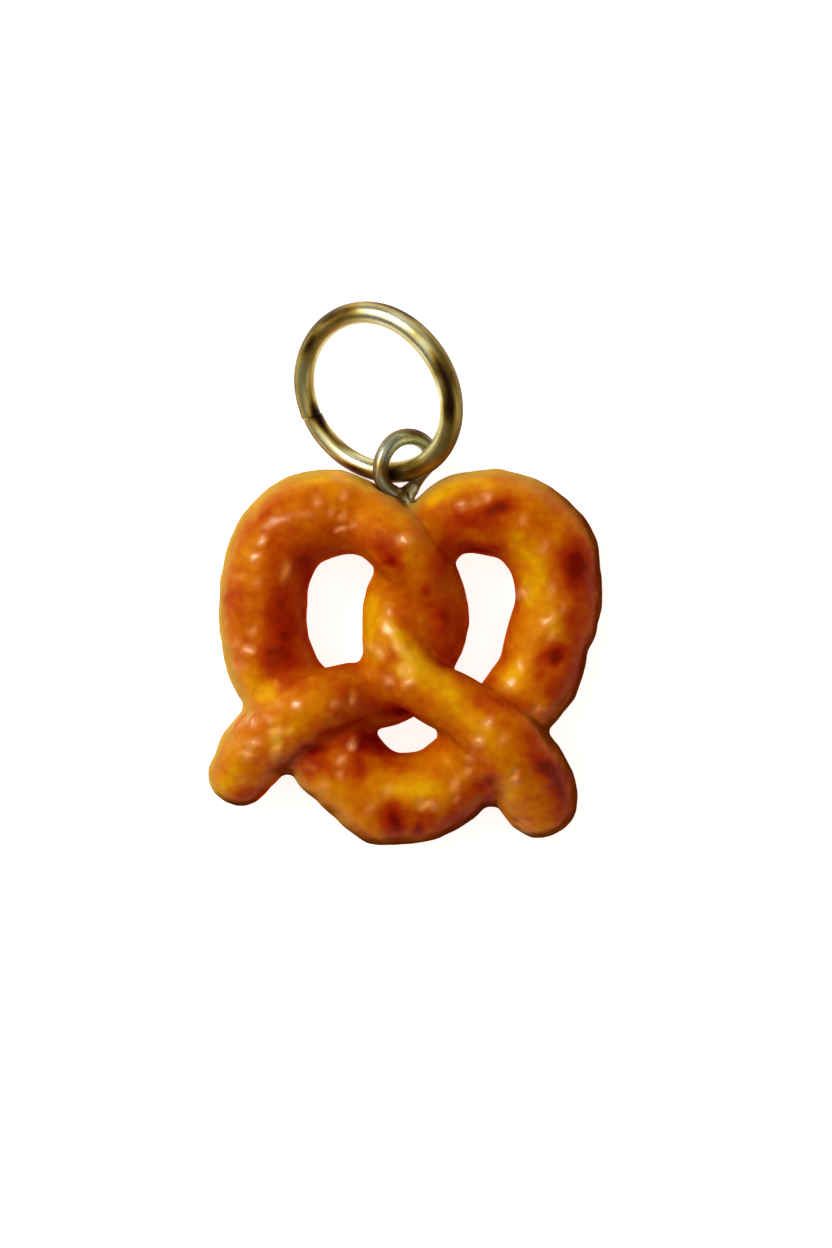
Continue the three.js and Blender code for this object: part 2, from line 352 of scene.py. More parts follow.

# %% [markdown]
# ## Dents, crumbs and beads of varnish
# Rolled clay has broad dents from the fingers, and fine crumbs where it was stippled to look like
# crust. A bump in the material could show both, but only a real relief changes the outline and
# the mesh itself. Varnish settles among the crumbs in small flat beads, and a bead that faces
# half way between the window and the viewer flashes. Beads left to chance would flash anywhere,
# so they are listed one by one: at each one the skin is pressed onto a small plane that is tilted
# to the window, and an attribute marks it for the material.

# %% Where the beads lie
FACETS = [
    # x, y, half length and half width in mm, turn in degrees, how flat from 0 to 1
    (-6.25, 2.68, 0.98, 0.3, 22, 0.6),
    (-5.1, 2.98, 0.69, 0.25, 4, 0.5),
    (-4.4, 3.62, 0.37, 0.3, 60, 0.8),
    (-3.1, 3.9, 0.34, 0.28, 90, 0.8),
    (-3.7, 3.05, 0.3, 0.28, 0, 0.6),
    (-3.2, 2.25, 0.34, 0.3, 0, 1.0),
    (-3.1, 2.9, 0.25, 0.25, 0, 0.7),
    (-2.6, 2.4, 0.3, 0.25, 30, 0.7),
    (-7.2, 1.7, 0.42, 0.2, 50, 0.8),
    (-7.55, 0.83, 0.39, 0.3, 10, 1.0),
    (-8.3, -0.2, 0.3, 0.2, 35, 0.5),
    (-7.4, -0.38, 0.24, 0.34, 0, 0.45),
    (-7.65, -2.95, 0.39, 0.28, 80, 0.7),
    (-7.95, -3.85, 0.39, 0.3, 20, 1.0),
    (-8.5, -3.5, 0.32, 0.31, 0, 0.7),
    (-8.3, -4.7, 0.34, 0.31, 60, 0.6),
    (-6.0, 0.1, 0.57, 0.28, 80, 0.5),
    (-3.2, 4.9, 0.57, 0.28, 0, 0.7),
    (-0.05, 1.72, 0.53, 0.33, -12, 1.0),
    (-0.78, -2.05, 0.28, 0.28, 0, 0.8),
    (-0.8, -2.85, 0.63, 0.33, -62, 1.0),
    (-0.35, -3.7, 0.69, 0.3, -58, 0.9),
    (0.2, -4.3, 0.46, 0.3, -45, 0.5),
    (-1.65, -3.7, 0.3, 0.28, 0, 0.8),
    (-1.25, -4.0, 0.34, 0.3, -50, 0.8),
    (-0.05, -4.88, 0.39, 0.35, 0, 1.0),
    (0.3, -4.95, 0.34, 0.3, 0, 0.8),
    (0.2, -5.45, 0.41, 0.33, 70, 1.0),
    (-0.85, -5.4, 0.39, 0.38, 30, 0.9),
    (2.88, 3.42, 0.39, 0.25, 0, 1.0),
    (3.6, 3.58, 0.46, 0.25, 15, 0.7),
    (4.1, 3.85, 0.46, 0.28, 30, 0.8),
    (5.95, 2.65, 0.34, 0.25, 80, 0.7),
    (7.0, 1.3, 0.46, 0.25, 70, 0.6),
    (5.97, -0.98, 0.3, 0.33, 0, 1.0),
    (7.25, -2.35, 0.51, 0.33, 50, 0.9),
    (7.35, -0.85, 0.48, 0.28, 90, 0.5),
    (8.0, -1.75, 0.37, 0.25, 90, 0.5),
    (7.4, -3.15, 0.39, 0.28, 40, 0.6),
    (5.8, -4.65, 0.34, 0.25, 90, 0.8),
    (5.28, -5.6, 0.34, 0.35, 0, 1.0),
    (-6.3, -6.65, 0.28, 0.28, 0, 0.7),
    (-5.45, -6.6, 0.32, 0.3, 70, 1.0),
    (-6.85, -7.3, 0.32, 0.28, 10, 0.7),
    (-7.7, -7.45, 0.44, 0.35, 0, 1.0),
    (-8.4, -7.5, 0.46, 0.33, 30, 0.7),
    (-7.6, -8.55, 0.46, 0.33, 30, 1.0),
    (-7.95, -9.1, 0.44, 0.28, 5, 1.0),
    (-8.45, -8.5, 0.34, 0.31, 0, 0.6),
    (-8.25, -10.5, 0.39, 0.31, 20, 0.5),
    (-6.5, -7.95, 0.46, 0.35, 75, 1.0),
    (-6.5, -8.8, 0.57, 0.3, 90, 0.9),
    (-5.9, -7.9, 0.34, 0.25, 60, 0.5),
    (-2.72, -8.6, 0.41, 0.25, 60, 0.9),
    (-3.22, -9.4, 0.34, 0.25, 60, 0.9),
    (-3.25, -10.15, 0.3, 0.25, 90, 0.7),
    (-2.65, -6.35, 0.39, 0.28, 90, 0.7),
    (-3.55, -6.55, 0.34, 0.28, 70, 0.6),
    (-4.8, -9.75, 0.34, 0.25, 0, 0.5),
    (4.15, -7.5, 0.39, 0.3, 50, 0.9),
    (3.7, -8.35, 0.37, 0.35, 0, 1.0),
    (3.28, -9.25, 0.39, 0.25, 70, 0.7),
    (3.15, -9.9, 0.37, 0.25, 85, 0.8),
    (6.7, -6.85, 0.37, 0.25, 5, 0.8),
    (4.95, -8.3, 0.34, 0.3, 40, 0.5),
    (5.58, -10.25, 0.41, 0.28, 90, 1.0),
    (1.1, -11.65, 0.57, 0.3, -5, 1.0),
    (2.5, -10.6, 0.48, 0.28, 65, 0.7),
    (2.6, -11.4, 0.3, 0.3, 0, 0.5),
    (-4.1, -10.65, 0.39, 0.35, 40, 0.7),
    (-0.8, -10.95, 0.34, 0.28, 40, 0.6),
    (-1.8, -11.8, 0.57, 0.28, 60, 0.5),
    (6.1, -12.7, 0.52, 0.33, -30, 0.6),
]
print("beads:", len(FACETS))

# %% Dents and crumbs
# The patches' size and height in mm, and a seed that gives each layer its own pattern.
DENTS = {"size": 2.6, "height": 0.05, "seed": 1}
CRUMBS = {"size": 0.8, "height": 0.034, "seed": 2}
GRAINS = {"size": 0.36, "height": 0.012, "seed": 3}
SEED_STEP = (17.3, 5.9, 11.1)


def noise_at(points, size, seed):
    """Smooth noise from about -1 to 1 at each point, with patches of a size in millimetres."""
    shift = Vector([seed * step for step in SEED_STEP])
    return np.array([noise.noise(Vector(p) / (size * MM) + shift) for p in points])


height = np.zeros(len(skin))
for layer in (DENTS, CRUMBS, GRAINS):
    height += layer["height"] * noise_at(skin, layer["size"], layer["seed"])
print("dents and crumbs, mm:", round(height.min(), 3), "to", round(height.max(), 3))

# %% Press the beads flat
# The way half way between the small bright panel and the viewer, which every bead faces.
TOWARDS_KEY = np.array((-0.30, 0.21, 0.93))
STEEPEST = 0.3
# In mm: how far a bead may press the skin in or lift it, and how its rim is made ragged.
FACET_REACH = 0.09
BEAD_RAGGED = {"size": 0.42, "reach": 0.19}
BEAD_EDGE = 1.3
BEAD_FALL = 1.5
RAGGED_SEED = 4
# Where a mask starts and where it is full: by the slope, and by the height above the table.
BEAD_SLOPE = (-0.1, 0.3)
FOOT = (0.1 * MM, 0.7 * MM)


def shaken(points, size, reach):
    """The points moved sideways by smooth noise, so that what is laid on them gets ragged edges."""
    moved = points.copy()
    for axis in (0, 1):
        moved[:, axis] += reach * MM * noise_at(points, size, RAGGED_SEED + axis)
    return moved


tops = BVHTree.FromBMesh(clay)
on_top = smooth_step(outward[:, 2], *BEAD_SLOPE)
shine = np.zeros(len(skin))
ragged = shaken(skin, **BEAD_RAGGED)
for x, y, length, width, turn, share in FACETS:
    spot = np.array(tops.ray_cast(Vector((x * MM, y * MM, SKY)), DOWN)[0])
    to_plane = (spot - skin) @ TOWARDS_KEY / np.maximum(outward @ TOWARDS_KEY, STEEPEST) / MM
    patch = share * oval(ragged, x, y, length, width, turn, BEAD_EDGE) * on_top
    height += (np.clip(to_plane, -FACET_REACH, FACET_REACH) - height) * patch
    # Each bead gets a clear coat and a pale painted highlight in the material.
    shine = np.maximum(shine, patch**BEAD_FALL)
above_table = smooth_step(skin[:, 2], *FOOT)
skin = skin + outward * (above_table * height * MM)[:, None]
skin[:, 2] = np.maximum(skin[:, 2], 0)
move_points(clay, skin)
skin, outward = points_of(clay)
print("relief, mm:", round(height.min(), 3), "to", round(height.max(), 3))

# %% [markdown]
# ## Browning
# Oven colour on a clay pretzel is chalk and paint, dabbed on with a nearly dry brush, one stroke
# over another. A noise could brown the clay too, but its patches would lie anywhere. Here each
# stroke is an oval with a ragged edge and a shade from gold to dark, it covers what lies under it,
# as paint does, and it lies where a painter puts it: dark on the inner side of the lobes and in
# the creases, gold on the tops. The dark strokes in the creases, under the arms and arches and
# along the right-hand edge are painted shade as well as stain. The shade is stored on the mesh's
# points, and so is whether a point is on a flank and on which side of the outline.

# %% Strokes of the dry brush
STROKES = [
    # x, y, half length and half width in mm, turn in degrees, darkness from 0 (gold) to 1 (dark)
    # left lobe: the outer half, the inner half, then the dark spots and the light ones
    (-7.9, -1.4, 3.4, 0.8, 92, 0.48),
    (-4.3, 1.9, 2.7, 1.0, 8, 0.51),
    (-6.0, -1.4, 3.2, 1.1, 92, 0.74),
    (-6.1, -4.1, 1.3, 1.1, 60, 0.84),
    (-5.1, 0.5, 1.1, 0.65, 100, 0.88),
    (-4.0, 1.2, 1.3, 0.35, 8, 0.64),
    (-6.8, 2.4, 0.6, 0.4, 50, 0.58),
    (-4.9, 3.1, 0.7, 0.3, 5, 0.54),
    (-6.4, -1.8, 0.7, 0.6, 80, 0.9),
    (-6.4, -2.8, 0.8, 0.6, 80, 0.88),
    (-6.45, -4.15, 0.95, 0.7, 60, 1.0),
    (-5.2, -2.7, 1.5, 0.3, 97, 0.58),
    (-6.1, 0.2, 0.7, 0.22, 85, 0.42),
    (-7.0, 2.9, 0.7, 0.5, 50, 0.6),
    (-5.9, 3.5, 1.2, 0.5, 20, 0.48),
    (-6.6, 1.8, 0.7, 0.45, 70, 0.6),
    (-5.2, 4.3, 1.2, 0.35, 12, 0.32),
    (-3.4, 4.2, 1.4, 0.45, -5, 0.3),
    (-4.2, 4.9, 2.6, 0.5, 0, -0.08),
    (-7.7, 3.5, 1.3, 0.4, 48, 0.12),
    (-8.85, -1.2, 0.7, 0.5, 30, 0.8),
    (-9.3, -2.1, 0.6, 0.3, 90, 0.6),
    (-8.3, -2.3, 1.0, 0.5, 95, 0.56),
    (-8.4, -3.9, 0.9, 0.5, 80, 0.4),
    (-8.0, 0.9, 1.4, 0.6, 75, 0.3),
    (-7.8, -5.6, 1.0, 0.7, -40, 0.06),
    (-6.9, -6.2, 1.0, 0.6, -10, 0.04),
    (-5.6, -5.5, 0.8, 0.3, 10, 0.55),
    # left shoulder and the first crossing
    (-1.9, 3.5, 1.9, 0.8, -25, 0.36),
    (-2.4, 4.6, 1.1, 0.35, -22, 0.0),
    (-0.2, 2.7, 1.2, 0.8, -10, 0.3),
    (-2.4, 1.7, 1.0, 0.4, -10, 0.5),
    (-1.6, 2.4, 0.7, 0.4, -20, 0.48),
    (-1.2, 1.4, 0.7, 0.6, 120, 0.84),
    (-0.8, 0.6, 0.6, 0.48, 40, 1.08),
    (-0.2, 0.2, 0.4, 0.4, 0, 0.68),
    (-1.2, -0.2, 0.5, 0.5, 0, 0.25),
    (0.35, 1.0, 1.0, 0.35, 95, 0.32),
    (0.0, -0.9, 0.9, 0.7, 100, 0.46),
    (1.1, 2.3, 0.7, 0.4, 60, 0.42),
    (1.9, 0.7, 1.0, 0.65, 80, 0.82),
    (2.2, 1.7, 0.8, 0.55, 60, 0.86),
    (1.0, -0.9, 0.45, 0.3, 70, 0.88),
    # the two bulges below it
    (-1.8, -2.3, 2.0, 0.6, 92, -0.08),
    (0.1, -2.0, 0.9, 0.5, 100, 0.56),
    (2.1, -2.4, 2.0, 0.9, 97, 0.8),
    (2.0, -2.3, 0.7, 0.25, 95, 0.92),
    (1.9, -4.1, 0.8, 0.5, 125, 0.9),
    (0.6, -3.0, 0.8, 0.3, 110, 0.5),
    (0.4, -4.2, 1.5, 0.55, -50, -0.06),
    (-0.7, -4.25, 0.4, 0.3, 60, 0.64),
    (-1.6, -4.0, 0.6, 0.4, 20, 0.12),
    (-2.1, -3.2, 0.6, 0.4, 90, -0.15),
    (1.4, -4.1, 0.5, 0.3, 120, 0.4),
    (-0.6, -3.1, 0.8, 0.3, -60, -0.25),
    (0.0, -4.9, 0.6, 0.5, 0, -0.1),
    (2.3, -6.0, 1.6, 0.7, -45, -0.03),
    (3.5, -7.0, 0.7, 0.6, -45, 0.26),
    (1.0, -5.6, 1.0, 0.5, -45, 0.12),
    # right lobe
    (3.7, 2.5, 1.9, 0.8, 5, 0.61),
    (2.7, 2.9, 0.5, 0.45, 60, 0.8),
    (4.6, 3.25, 1.1, 0.42, 14, 1.05),
    (3.4, 2.6, 0.9, 0.35, 10, 0.86),
    (3.8, 1.3, 1.4, 0.35, 0, 0.88),
    (2.2, 4.3, 1.6, 0.5, 28, 0.02),
    (1.5, 3.7, 0.6, 0.4, 30, 0.0),
    (3.9, 4.6, 1.2, 0.4, 5, 0.14),
    (6.0, 4.3, 1.3, 0.5, -18, 0.28),
    (7.7, 2.9, 1.5, 0.7, -45, 0.36),
    (6.9, 3.1, 0.8, 0.4, -40, 0.26),
    (5.7, 1.7, 0.6, 0.4, 60, 0.14),
    (6.6, 2.0, 0.7, 0.4, 0, 0.46),
    (6.1, 0.8, 0.7, 0.5, 90, 0.08),
    (6.5, -0.6, 1.9, 0.7, 95, 0.02),
    (7.1, -1.9, 1.5, 0.6, 95, 0.1),
    (6.0, -3.9, 1.9, 0.7, 72, 0.25),
    (7.9, 0.9, 0.5, 0.35, 20, 0.72),
    # the right-hand edge, darkened as painted shade
    (9.4, -0.6, 2.6, 0.4, 92, 0.78),
    (9.2, 2.2, 0.9, 0.4, -60, 0.3),
    (8.7, -2.4, 1.4, 0.6, 87, 0.76),
    (7.5, -4.2, 0.95, 0.5, 22, 1.08),
    (8.5, -4.9, 1.5, 0.55, 75, 0.82),
    (7.5, -5.9, 1.0, 0.5, 80, 0.76),
    (6.9, -5.0, 0.6, 0.4, 70, 0.66),
    (8.55, 0.35, 1.2, 0.7, 97, 1.15),
    (5.4, -5.2, 0.8, 0.6, 60, 0.0),
    (6.6, -6.5, 0.6, 0.3, 0, 0.24),
    # left arm and its tip
    (-4.6, -6.5, 1.4, 0.8, 15, 0.26),
    (-2.6, -5.9, 1.2, 0.6, 5, 0.5),
    (-2.6, -7.0, 1.2, 0.5, 0, 0.66),
    (-1.1, -6.8, 1.4, 0.5, -12, 0.9),
    (-0.2, -7.05, 0.6, 0.3, -10, 1.0),
    (-3.4, -8.0, 1.3, 0.5, 20, 0.84),
    (-2.0, -8.4, 1.1, 0.55, 12, 1.1),
    (-5.6, -7.8, 0.8, 0.45, 45, 0.16),
    (-4.7, -8.95, 1.2, 0.45, 22, 0.84),
    (-4.5, -8.85, 0.6, 0.3, 22, 1.08),
    (-6.5, -8.4, 0.9, 0.3, 88, -0.05),
    (-6.3, -9.9, 0.6, 0.45, 30, 0.66),
    (-8.4, -8.8, 0.9, 0.8, 60, 0.2),
    (-7.3, -9.9, 0.7, 0.5, 60, 0.44),
    (-8.6, -9.9, 0.6, 0.5, 60, 0.18),
    (-7.7, -11.1, 1.0, 0.45, 8, 0.68),
    (-9.3, -10.9, 0.9, 0.5, 60, 0.02),
    # belly
    (-2.3, -9.6, 0.75, 0.5, 85, 0.9),
    (-1.2, -8.95, 0.9, 0.35, -22, 1.0),
    (-0.7, -9.35, 1.4, 0.35, 0, 0.6),
    (-3.9, -10.9, 1.1, 0.6, -35, 0.14),
    (-5.1, -9.8, 0.9, 0.4, -30, 0.74),
    (-4.3, -9.6, 1.0, 0.4, -25, 0.78),
    (-2.7, -11.7, 1.1, 0.7, -45, 0.3),
    (1.3, -9.4, 1.4, 0.5, 10, 0.3),
    (0.3, -10.8, 1.9, 0.65, 2, -0.02),
    (-1.1, -10.4, 0.7, 0.4, 0, 0.3),
    (0.9, -11.8, 0.6, 0.35, 0, 0.2),
    (-0.6, -12.5, 0.9, 0.58, 110, 1.08),
    (0.6, -13.0, 0.4, 0.3, 60, 0.92),
    (2.4, -12.5, 1.4, 0.5, 25, 0.8),
    (1.2, -12.2, 0.7, 0.3, 0, 0.62),
    (3.9, -10.7, 1.0, 0.5, 38, 0.86),
    (4.4, -11.3, 0.7, 0.4, 40, 0.84),
    (2.9, -11.6, 0.7, 0.3, 25, 0.7),
    # right arm and its tip
    (5.0, -6.6, 1.5, 0.45, -12, 0.66),
    (3.8, -6.3, 0.6, 0.5, 90, 0.6),
    (4.3, -8.3, 1.3, 0.7, -40, 0.14),
    (6.4, -8.3, 1.2, 0.55, 95, 0.66),
    (5.3, -11.0, 1.3, 0.55, 95, 0.16),
    (7.2, -9.9, 0.95, 0.5, -45, 1.18),
    (7.8, -10.6, 0.6, 0.4, -70, 1.05),
    (7.9, -11.4, 1.1, 0.55, -80, 0.95),
    (6.5, -11.6, 1.0, 0.35, 95, 0.34),
    (6.9, -12.9, 1.0, 0.35, 0, 0.25),
]
print("strokes:", len(STROKES))

# %% Brush them on
FIRST_COAT = 0.42
COVER = 0.92
STROKE_EDGE = 1.15
RAGGED_SIZE = 0.9
RAGGED_REACH = 0.25
# Where the strokes start and where they are full, by the upward part of the normal.
FACE_UP = (-0.45, 0.1)
BROWNED = 0.6


def brushed(points, strokes, first, ragged=1.0):
    """How dark each point is painted, after every stroke has been laid over the ones before it."""
    shifted = shaken(points, RAGGED_SIZE, RAGGED_REACH * ragged)
    brown = np.full(len(points), first)
    for x, y, length, width, turn, shade in strokes:
        brown += (shade - brown) * COVER * oval(shifted, x, y, length, width, turn, STROKE_EDGE)
    return brown


face_up = smooth_step(outward[:, 2], *FACE_UP)
brown = FIRST_COAT + (brushed(skin, STROKES, FIRST_COAT) - FIRST_COAT) * face_up
print("browned share:", round(float((brown > BROWNED).mean()), 2))

# %% Flanks and rims
MIDDLE = np.array((0, -4)) * MM
# The way that the side of the outline with the painted highlight faces: towards the window.
WINDOW_SIDE = np.array((-0.75, 0.6, 0.25))
# Where each mask starts and where it is full: depths and distances in mm, slopes as the upward
# part of the normal, the rest as shares.
CREASE_DEPTH = (0.01, 0.1)
SIDE_SLOPE = (0.25, 0.75)
MATTE_SLOPE = (0.4, 0.85)
RIM_SLOPE = (-0.7, 0.1)
OUTSIDE = (5.5, 7.5)
FACING_OUT = (0, 0.4)
TO_WINDOW = (-0.2, 0.5)
STAINED = (0.55, 0.85)

# Creases get a painted shade, except where the strands melt together.
crease = smooth_step(hollow, *CREASE_DEPTH) * (1 - melt)
side = 1 - smooth_step(outward[:, 2], *SIDE_SLOPE)
matte = 1 - smooth_step(outward[:, 2], *MATTE_SLOPE)
from_middle = skin[:, :2] - MIDDLE
distance = np.linalg.norm(from_middle, axis=1)
facing_out = (outward[:, :2] * from_middle).sum(axis=1) / distance
outside = smooth_step(distance / MM, *OUTSIDE) * smooth_step(facing_out, *FACING_OUT)
rim = side * outside * smooth_step(outward[:, 2], *RIM_SLOPE)
# The rim away from the window gets a painted shade, the rim towards it a painted highlight where
# the stain is light.
shaded = 1 - smooth_step(outward @ WINDOW_SIDE, *TO_WINDOW)
lit_unstained = (1 - shaded) * (1 - smooth_step(brown, *STAINED))
print("mean of the rim mask:", round(float(rim.mean()), 2))


# %% The pretzel piece
def store(piece, **columns):
    """Keeps arrays of numbers on the piece's points, for its material to read."""
    for name, values in columns.items():
        column = piece.data.attributes.new(name, "FLOAT", "POINT")
        column.data.foreach_set("value", values.astype(np.float32))


pretzel = to_piece(clay, "pretzel_clay")
store(pretzel, brown=brown, crease=crease, side=side, matte=matte, shine=shine)
store(pretzel, pale_rim=rim * lit_unstained, dark_rim=rim * shaded)
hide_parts("pretzel")
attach(pretzel, "charm")
print("pretzel faces:", len(pretzel.data.polygons))

# %% [markdown]
# ## Shader maths as Python
# A procedural finish is a small formula of noises and masks. Written as a node graph it is hard
# to read, so one class wraps an output socket and gives it Python's operators: each operator adds
# one Math node. Every other node comes from `Paint.node`, which takes the node's type, its
# settings and what goes into its sockets. A material may turn into a second shader where a mask
# says so, and both shaders get the same inputs.

# %% Sockets with operators
class Value:
    """A number that varies over the surface."""

    def __init__(self, paint, socket):
        self.paint = paint
        self.socket = socket

    def math(self, operation, *inputs):
        """The output of one new Math node."""
        return self.paint.node("Math", {"operation": operation}, dict(enumerate(inputs)))

    def __add__(self, other):
        return self.math("ADD", self, other)

    def __sub__(self, other):
        return self.math("SUBTRACT", self, other)

    def __rsub__(self, other):
        return self.math("SUBTRACT", other, self)

    def __mul__(self, other):
        return self.math("MULTIPLY", self, other)

    __radd__ = __add__
    __rmul__ = __mul__


print("reflected forms:", [name for name in vars(Value) if name.startswith("__r")])


# %% A material and its nodes
class Paint:
    """A material with its nodes, all of which read the object's own coordinates."""

    def __init__(self, name, **constants):
        self.material = bpy.data.materials.new(name)
        self.material.use_nodes = True
        self.tree = self.material.node_tree
        self.shaders = [self.tree.nodes["Principled BSDF"]]
        self.set(self.shaders[0], constants)
        self.place = self.node("TexCoord", output="Object")

    def set(self, shader, constants):
        """Puts plain numbers and colours on a shader's own sockets."""
        for socket, value in constants.items():
            shader.inputs[socket.replace("_", " ")].default_value = value

    def turn_into(self, share, **constants):
        """Adds a second shader, which takes over where share is 1 and gets the same inputs."""
        other = self.node("BsdfPrincipled").socket.node
        self.set(other, constants)
        first, second = (Value(self, shader.outputs[0]) for shader in (self.shaders[0], other))
        mixed = self.node("MixShader", inputs={0: share, 1: first, 2: second})
        self.feed(self.tree.nodes["Material Output"].inputs["Surface"], mixed)
        self.shaders.append(other)

    def node(self, kind, settings=None, inputs=None, output=0):
        """Adds a node, sets it, fills its sockets and returns one output."""
        made = self.tree.nodes.new("ShaderNode" + kind)
        for key, value in (settings or {}).items():
            if key == "stops":
                self.fill_ramp(made.color_ramp, value)
            else:
                setattr(made, key, value)
        for key, value in (inputs or {}).items():
            self.feed(made.inputs[key], value)
        return Value(self, made.outputs[output])

    def feed(self, socket, value):
        """Links a Value to a socket, or sets the socket to a plain number or colour."""
        if isinstance(value, Value):
            self.tree.links.new(value.socket, socket)
        else:
            socket.default_value = value

    def fill_ramp(self, ramp, stops):
        """Gives a colour ramp its stops, a dictionary from position to colour."""
        while len(ramp.elements) < len(stops):
            ramp.elements.new(1.0)
        for element, (position, colour) in zip(ramp.elements, sorted(stops.items())):
            element.position = position
            element.color = colour

    def noise(self, size, detail, roughness=0.5):
        """A cloud pattern whose patches are about so many millimetres across, from 0 to 1."""
        sockets = {"Vector": self.place, "Scale": 1 / (size * MM)}
        sockets.update({"Detail": detail, "Roughness": roughness})
        return self.node("TexNoise", inputs=sockets)

    def attribute(self, name):
        """A number stored on the mesh's points."""
        return self.node("Attribute", {"attribute_name": name}, output="Fac")

    def finish(self, **sockets):
        """Feeds the sockets of every shader in the material, and returns the material."""
        for shader in self.shaders:
            for socket, value in sockets.items():
                self.feed(shader.inputs[socket.replace("_", " ")], value)
        return self.material


print("a material can:", [name for name in vars(Paint) if not name.startswith("_")])

# %% Ramps, mixes and bumps
# A Mix node has sockets for every kind of value. These are the numbers of the colour ones.
UNDER = 6
OVER = 7
MIXED = 2


def ramp(stops, share):
    """A colour from a ramp, looked up by a Value from 0 to 1."""
    return share.paint.node("ValToRGB", {"stops": stops}, {"Fac": share})


def blend(factor, under, over, way="MIX"):
    """Mixes two colours: under at 0, over at 1."""
    settings = {"data_type": "RGBA", "blend_type": way}
    return factor.paint.node("Mix", settings, {"Factor": factor, UNDER: under, OVER: over}, MIXED)


def bump(height, distance, strength):
    """Bends the normal as if the surface rose by distance, in millimetres, at height 1."""
    sockets = {"Height": height, "Distance": distance * MM, "Strength": strength}
    return height.paint.node("Bump", inputs=sockets, output="Normal")


print("colour sockets of a Mix node:", UNDER, OVER, "and its output:", MIXED)


# %% Colours as seen on screen
def srgb(red, green, blue):
    """A colour as seen on screen, 0 to 255, turned by the sRGB curve into a shader's light."""
    shares = [c / 255 for c in (red, green, blue)]
    light = [s / 12.92 if s <= 0.04045 else ((s + 0.055) / 1.055) ** 2.4 for s in shares]
    return (*light, 1.0)


print("golden clay, as light:", [round(c, 3) for c in srgb(222, 140, 22)])

# %% [markdown]
# ## Varnished clay
# The real clay is yellow, stained in several coats and varnished. Each coat could be a colour with
# a mask of its own, but stain only ever gets deeper, so one ramp is enough: it runs from raw yellow
# clay through gold and orange-brown to dark red. The stored shade says where on the ramp a point
# is, and two noises break it up. Light and shade are then painted over it: a painted shade on the
# steep flanks, in the creases and along the outline away from the window, a painted highlight
# along the outline towards the window, where the stain is light, and a pale painted highlight on
# each bead. The varnish is a warm sheen on the tops and a clear coat on the beads. A flank seen at
# a low angle would mirror the white table and turn grey, so a second shader without any sheen
# takes over there.

# %% Clay colours
CRUST = {
    0.0: srgb(242, 174, 6),
    0.2: srgb(224, 134, 2),
    0.43: srgb(206, 96, 1),
    0.635: srgb(186, 60, 1),
    0.82: srgb(172, 34, 1),
    1.0: srgb(128, 3, 1),
}
TINTS = {
    # stored mask: (share, colour, way of mixing), laid on in this order
    # a painted shade: the steep flanks multiplied darker
    "side": (0.55, (0.75, 0.5, 0.3, 1.0), "MULTIPLY"),
    # a painted highlight along the outline on the window side
    "pale_rim": (0.8, srgb(212, 172, 74), "MIX"),
    # a painted shade along the outline away from the window
    "dark_rim": (0.85, srgb(74, 30, 4), "MIX"),
    # a painted shade in the creases
    "crease": (0.2, srgb(110, 26, 3), "MIX"),
}
print("stops from yellow clay to dark red:", len(CRUST), "and tints over them:", len(TINTS))

# %% Specks and varnish
CLOUD = {"size": 1.3, "detail": 2.0}
SPECK = {"size": 0.45, "detail": 1.5}
NOISE_MIDDLE = 0.5
CLOUD_STAIN = 0.4
SPECK_STAIN = 0.3
# A pale peach painted highlight laid on every bead, and how much of it.
PAINTED_GLINT = srgb(252, 164, 90)
PAINTED_GLINT_SHARE = 0.85
PAINTED_GLINT_FLOOR = 0.1
SHEEN = {"Specular_IOR_Level": 0.3, "Specular_Tint": (1.0, 0.6, 0.06, 1.0)}
NO_SHEEN = {"Specular_IOR_Level": 0.0}
SHEEN_ROUGHNESS = 0.34
SPECK_ROUGHNESS = 0.1
BEAD_COAT = {"Coat_IOR": 1.5, "Coat_Roughness": 0.2}
BEAD_WEIGHT = 0.5
GRAIN = {"size": 0.22, "detail": 3.0, "roughness": 0.6}
GRAIN_BUMP = {"distance": 0.012, "strength": 0.5}
print("noises in the clay, mm:", [pattern["size"] for pattern in (CLOUD, SPECK, GRAIN)])


# %% Clay material
def clay_paint():
    """Clay in the shade stored on its points, with painted light and shade over it, varnished on
    top and dull on its flanks.
    """
    paint = Paint("varnished_clay", **SHEEN, **BEAD_COAT)
    paint.turn_into(paint.attribute("matte"), **NO_SHEEN, **BEAD_COAT)
    speck = paint.noise(**SPECK)
    stain = (paint.noise(**CLOUD) - NOISE_MIDDLE) * CLOUD_STAIN
    stain = stain + (speck - NOISE_MIDDLE) * SPECK_STAIN
    colour = ramp(CRUST, paint.attribute("brown") + stain)
    # The tints paint shade on the flanks, in the creases and on the far rim, and a highlight on the
    # near rim.
    for mask, (share, tint, way) in TINTS.items():
        colour = blend(paint.attribute(mask) * share, colour, tint, way)
    bead_and_glint = paint.attribute("shine")
    return paint.finish(
        # Each bead's colour is lifted towards a pale painted highlight.
        Base_Color=blend(bead_and_glint * (speck + PAINTED_GLINT_FLOOR) * PAINTED_GLINT_SHARE, colour, PAINTED_GLINT),
        Roughness=SHEEN_ROUGHNESS + speck * SPECK_ROUGHNESS,
        Coat_Weight=bead_and_glint * BEAD_WEIGHT,
        Normal=bump(paint.noise(**GRAIN), **GRAIN_BUMP),
    )


pretzel.data.materials.append(clay_paint())
print("clay nodes:", len(pretzel.data.materials[0].node_tree.nodes))

# %% [markdown]
# ## The jump ring
# One turn of round brass wire, cut square and closed with pliers, so that its two ends nearly
# meet. The CAD leaves a wedge of air between them, so the ends are first bent together. The CAD
# ring has twelve flat sides. A voxel remesh would round them but blunt the cut, so the triangles
# are joined back into quads, the rims of the two cut faces are bevelled, and a Subdivision Surface
# rounds the rest. Subdivision pulls a twelve-sided wire in by about a twentieth of its radius, so
# the points are pushed out by that much first.

